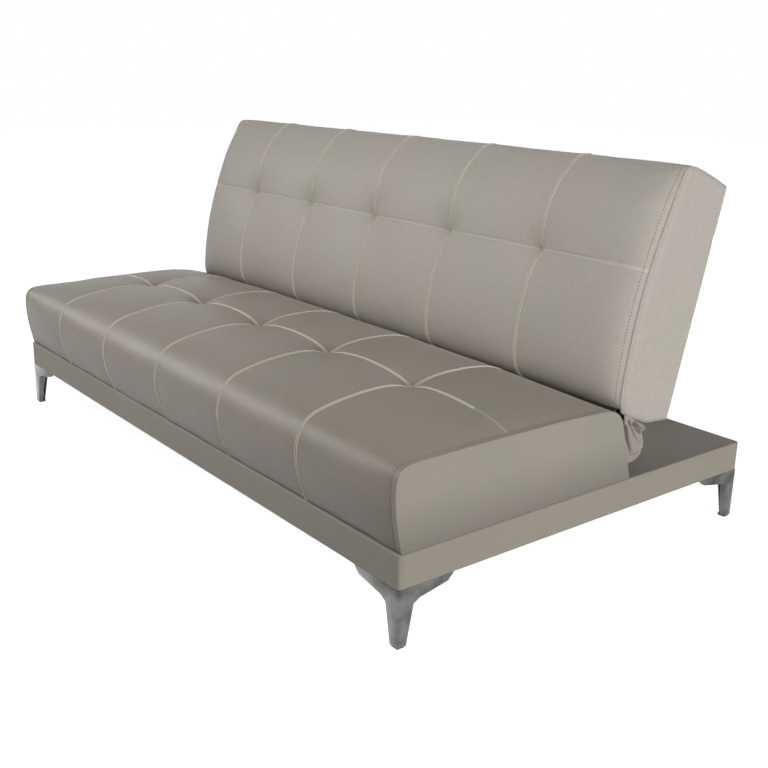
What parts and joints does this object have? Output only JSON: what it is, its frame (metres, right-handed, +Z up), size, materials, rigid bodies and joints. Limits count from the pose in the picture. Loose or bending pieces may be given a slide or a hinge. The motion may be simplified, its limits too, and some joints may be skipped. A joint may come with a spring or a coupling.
{
  "type": "click clack sofa bed",
  "caption": "Armless tufted sofa bed on a low plinth with corner legs; the seat tilts up and the back reclines to flat.",
  "frame": {"origin": "on the floor, in the middle of the sofa's length and depth", "axes": "+X along the sofa's length, to the right-hand end when seen from the front; +Y from the front edge of the seat to the rear; +Z up"},
  "size_m": [1.8, 1.0668, 0.852],
  "materials": {
    "cover": "brushed microfibre upholstery cloth with a soft sheen, over wadding",
    "foam": "cream upholstery foam",
    "lining": "black spunbond dust cloth",
    "timber": "planed softwood and plywood, not coated",
    "steel": "pressed steel, zinc plated",
    "chrome": "polished chrome plate on folded steel sheet",
    "glide": "black moulded glide"
  },
  "bodies": {
    "plinth": {"glide_front_left": "glide", "glide_front_right": "glide", "glide_rear_left": "glide", "glide_rear_right": "glide", "gusset_band": "cover", "gusset_end_left": "cover", "gusset_end_right": "cover", "hinge_bracket_left": "steel", "hinge_bracket_right": "steel", "hinge_rail_left": "timber", "hinge_rail_right": "timber", "leg_front_left": "chrome", "leg_front_right": "chrome", "leg_rear_left": "chrome", "leg_rear_right": "chrome", "pivot_rivet_left": "steel", "pivot_rivet_right": "steel", "plinth_cover_front": "cover", "plinth_cover_left": "cover", "plinth_cover_rear": "cover", "plinth_cover_right": "cover", "plinth_deck": "timber", "plinth_dust_cloth": "lining", "plinth_front_rail": "timber", "plinth_left_rail": "timber", "plinth_rear_rail": "timber", "plinth_right_rail": "timber", "plinth_top_cover": "cover"},
    "seat": {"seat_cross_rail_left": "timber", "seat_cross_rail_right": "timber", "seat_dust_cloth": "lining", "seat_foam": "foam", "seat_front_rail": "timber", "seat_hinge_arm_left": "steel", "seat_hinge_arm_right": "steel", "seat_left_rail": "timber", "seat_quilt": "cover", "seat_rear_panel": "cover", "seat_rear_rail": "timber", "seat_right_rail": "timber", "seat_side_panel_left": "cover", "seat_side_panel_right": "cover"},
    "back": {"back_bottom_panel": "cover", "back_bottom_rail": "timber", "back_foam": "foam", "back_hinge_arm_left": "steel", "back_hinge_arm_right": "steel", "back_left_rail": "timber", "back_quilt": "cover", "back_rear_panel": "cover", "back_right_rail": "timber", "back_side_panel_left": "cover", "back_side_panel_right": "cover", "back_stile_left": "timber", "back_stile_right": "timber", "back_top_rail": "timber", "ratchet_drum_left": "steel", "ratchet_drum_right": "steel"}
  },
  "joints": [
    {"name": "seat_lift", "type": "hinge", "parent": "plinth", "child": "seat", "pos_m": [0, 0.12944, 0.321], "axis": [-1, 0, 0], "range_deg": [0, 15]},
    {"name": "back_recline", "type": "hinge", "parent": "plinth", "child": "back", "pos_m": [0, 0.12944, 0.321], "axis": [-1, 0, 0], "range_deg": [0, 73.6], "deforming": ["gusset_band", "gusset_end_left", "gusset_end_right"]}
  ]
}
